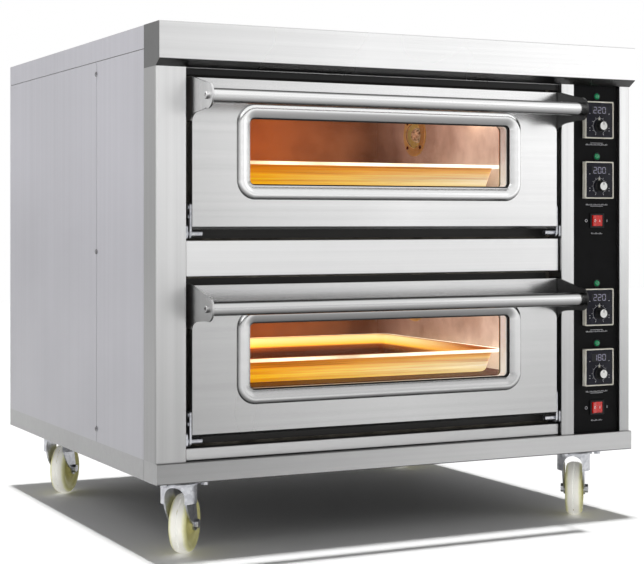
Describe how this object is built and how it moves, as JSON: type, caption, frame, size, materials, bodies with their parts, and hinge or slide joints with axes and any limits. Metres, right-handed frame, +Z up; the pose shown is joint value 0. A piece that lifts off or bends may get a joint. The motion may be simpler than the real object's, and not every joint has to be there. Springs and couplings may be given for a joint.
{
  "type": "deck oven",
  "caption": "Stacked electric deck oven in stainless steel with drop-down glazed doors, long bar handles, a right-hand control column and swivel casters.",
  "frame": {"origin": "floor level, at the middle of the whole length and width including handles and cable gland", "axes": "+X to the right seen from the front, the doors face -Y, +Z up"},
  "size_m": [1.0056, 1.016, 0.926],
  "materials": {
    "brushed_stainless": "fine brushed",
    "polished_stainless": "bright polished",
    "satin_side_steel": "satin",
    "black_panel": "semi-gloss black film",
    "cream_plastic": "moulded",
    "black_plastic": "moulded",
    "green_lens": "clear coloured lens",
    "red_rocker": "glossy",
    "hearth_steel": "heat-blued plate",
    "chamber_steel": "aluminised sheet",
    "element_sheath": "oxidised",
    "lamp_ring_metal": "satin",
    "oven_glass": "clear",
    "mineral_wool": "fibrous",
    "tray_aluminium": "drawn sheet",
    "zinc_steel": "bright zinc plated",
    "nylon_wheel": "moulded nylon"
  },
  "bodies": {
    "cabinet": {"base_pan": "brushed_stainless", "left_front_column": "brushed_stainless", "mid_front_column": "brushed_stainless", "right_front_column": "brushed_stainless", "side_panels": "satin_side_steel", "back_panel": "satin_side_steel", "top_cover": "satin_side_steel", "canopy": "brushed_stainless", "middle_fascia": "brushed_stainless", "kick_panel": "brushed_stainless", "control_panel": "black_panel", "controller_housings": "cream_plastic", "indicator_lamps": "green_lens", "switch_housings": "black_plastic", "hearth_plates": "hearth_steel", "insulation_slabs": "mineral_wool", "heating_elements": "element_sheath", "lamp_housings": "lamp_ring_metal", "lamp_glasses": "oven_glass", "lamp_bulbs": "oven_glass", "panel_screws": "zinc_steel", "cable_gland": "black_plastic", "contactors": "black_plastic", "hinge_brackets": "zinc_steel", "caster_plates": "zinc_steel", "caster_bolts": "zinc_steel", "upper_chamber_liner": "chamber_steel", "lower_chamber_liner": "chamber_steel"},
    "upper_door": {"upper_door_skin": "polished_stainless", "upper_door_liner": "brushed_stainless", "upper_door_insulation": "mineral_wool", "upper_window_bead": "polished_stainless", "upper_window_panes": "oven_glass", "upper_handle_bar": "polished_stainless", "upper_handle_brackets": "brushed_stainless", "upper_hinge_lugs": "zinc_steel"},
    "lower_door": {"lower_door_skin": "polished_stainless", "lower_door_liner": "brushed_stainless", "lower_door_insulation": "mineral_wool", "lower_window_bead": "polished_stainless", "lower_window_panes": "oven_glass", "lower_handle_bar": "polished_stainless", "lower_handle_brackets": "brushed_stainless", "lower_hinge_lugs": "zinc_steel"},
    "upper_top_heat_knob": {"upper_top_heat_knob": "black_plastic"},
    "upper_bottom_heat_knob": {"upper_bottom_heat_knob": "black_plastic"},
    "lower_top_heat_knob": {"lower_top_heat_knob": "black_plastic"},
    "lower_bottom_heat_knob": {"lower_bottom_heat_knob": "black_plastic"},
    "upper_light_rocker": {"upper_light_rocker": "red_rocker"},
    "lower_light_rocker": {"lower_light_rocker": "red_rocker"},
    "upper_baking_tray": {"upper_baking_tray": "tray_aluminium"},
    "lower_baking_tray": {"lower_baking_tray": "tray_aluminium"},
    "front_left_caster_fork": {"front_left_caster_fork": "zinc_steel"},
    "front_left_caster_wheel": {"front_left_caster_wheel": "nylon_wheel"},
    "front_right_caster_fork": {"front_right_caster_fork": "zinc_steel"},
    "front_right_caster_wheel": {"front_right_caster_wheel": "nylon_wheel"},
    "rear_left_caster_fork": {"rear_left_caster_fork": "zinc_steel"},
    "rear_left_caster_wheel": {"rear_left_caster_wheel": "nylon_wheel"},
    "rear_right_caster_fork": {"rear_right_caster_fork": "zinc_steel"},
    "rear_right_caster_wheel": {"rear_right_caster_wheel": "nylon_wheel"}
  },
  "joints": [
    {"name": "upper_door_hinge", "type": "hinge", "parent": "cabinet", "child": "upper_door", "pos_m": [0, -0.398, 0.564], "axis": [1, 0, 0], "range_deg": [0, 90]},
    {"name": "lower_door_hinge", "type": "hinge", "parent": "cabinet", "child": "lower_door", "pos_m": [0, -0.398, 0.205], "axis": [1, 0, 0], "range_deg": [0, 90]},
    {"name": "upper_top_heat_knob_turn", "type": "hinge", "parent": "cabinet", "child": "upper_top_heat_knob", "pos_m": [0.4261, -0.41, 0.7714], "axis": [0, 1, 0], "range_deg": [-150, 150]},
    {"name": "upper_bottom_heat_knob_turn", "type": "hinge", "parent": "cabinet", "child": "upper_bottom_heat_knob", "pos_m": [0.4261, -0.41, 0.6537], "axis": [0, 1, 0], "range_deg": [-150, 150]},
    {"name": "lower_top_heat_knob_turn", "type": "hinge", "parent": "cabinet", "child": "lower_top_heat_knob", "pos_m": [0.4261, -0.41, 0.4049], "axis": [0, 1, 0], "range_deg": [-150, 150]},
    {"name": "lower_bottom_heat_knob_turn", "type": "hinge", "parent": "cabinet", "child": "lower_bottom_heat_knob", "pos_m": [0.4261, -0.41, 0.2872], "axis": [0, 1, 0], "range_deg": [-150, 150]},
    {"name": "upper_light_rocker_tilt", "type": "hinge", "parent": "cabinet", "child": "upper_light_rocker", "pos_m": [0.4261, -0.4029, 0.5862], "axis": [0, 0, -1], "range_deg": [0, 16]},
    {"name": "lower_light_rocker_tilt", "type": "hinge", "parent": "cabinet", "child": "lower_light_rocker", "pos_m": [0.4261, -0.4029, 0.2197], "axis": [0, 0, -1], "range_deg": [0, 16]},
    {"name": "upper_baking_tray_slide", "type": "slide", "parent": "cabinet", "child": "upper_baking_tray", "axis": [0, 1, 0], "range_m": [0, 0.06]},
    {"name": "lower_baking_tray_slide", "type": "slide", "parent": "cabinet", "child": "lower_baking_tray", "axis": [0, 1, 0], "range_m": [0, 0.06]},
    {"name": "front_left_swivel", "type": "hinge", "parent": "cabinet", "child": "front_left_caster_fork", "pos_m": [-0.44, -0.366, 0.125], "axis": [0, 0, 1], "continuous": true},
    {"name": "front_left_roll", "type": "hinge", "parent": "front_left_caster_fork", "child": "front_left_caster_wheel", "pos_m": [-0.4186, -0.33958, 0.0525], "axis": [0.7771, -0.6293, 0], "continuous": true},
    {"name": "front_right_swivel", "type": "hinge", "parent": "cabinet", "child": "front_right_caster_fork", "pos_m": [0.397, -0.366, 0.125], "axis": [0, 0, 1], "continuous": true},
    {"name": "front_right_roll", "type": "hinge", "parent": "front_right_caster_fork", "child": "front_right_caster_wheel", "pos_m": [0.4184, -0.33958, 0.0525], "axis": [0.7771, -0.6293, 0], "continuous": true},
    {"name": "rear_left_swivel", "type": "hinge", "parent": "cabinet", "child": "rear_left_caster_fork", "pos_m": [-0.44, 0.325, 0.125], "axis": [0, 0, 1], "continuous": true},
    {"name": "rear_left_roll", "type": "hinge", "parent": "rear_left_caster_fork", "child": "rear_left_caster_wheel", "pos_m": [-0.4186, 0.35142, 0.0525], "axis": [0.7771, -0.6293, 0], "continuous": true},
    {"name": "rear_right_swivel", "type": "hinge", "parent": "cabinet", "child": "rear_right_caster_fork", "pos_m": [0.397, 0.325, 0.125], "axis": [0, 0, 1], "continuous": true},
    {"name": "rear_right_roll", "type": "hinge", "parent": "rear_right_caster_fork", "child": "rear_right_caster_wheel", "pos_m": [0.4184, 0.35142, 0.0525], "axis": [0.7771, -0.6293, 0], "continuous": true}
  ]
}
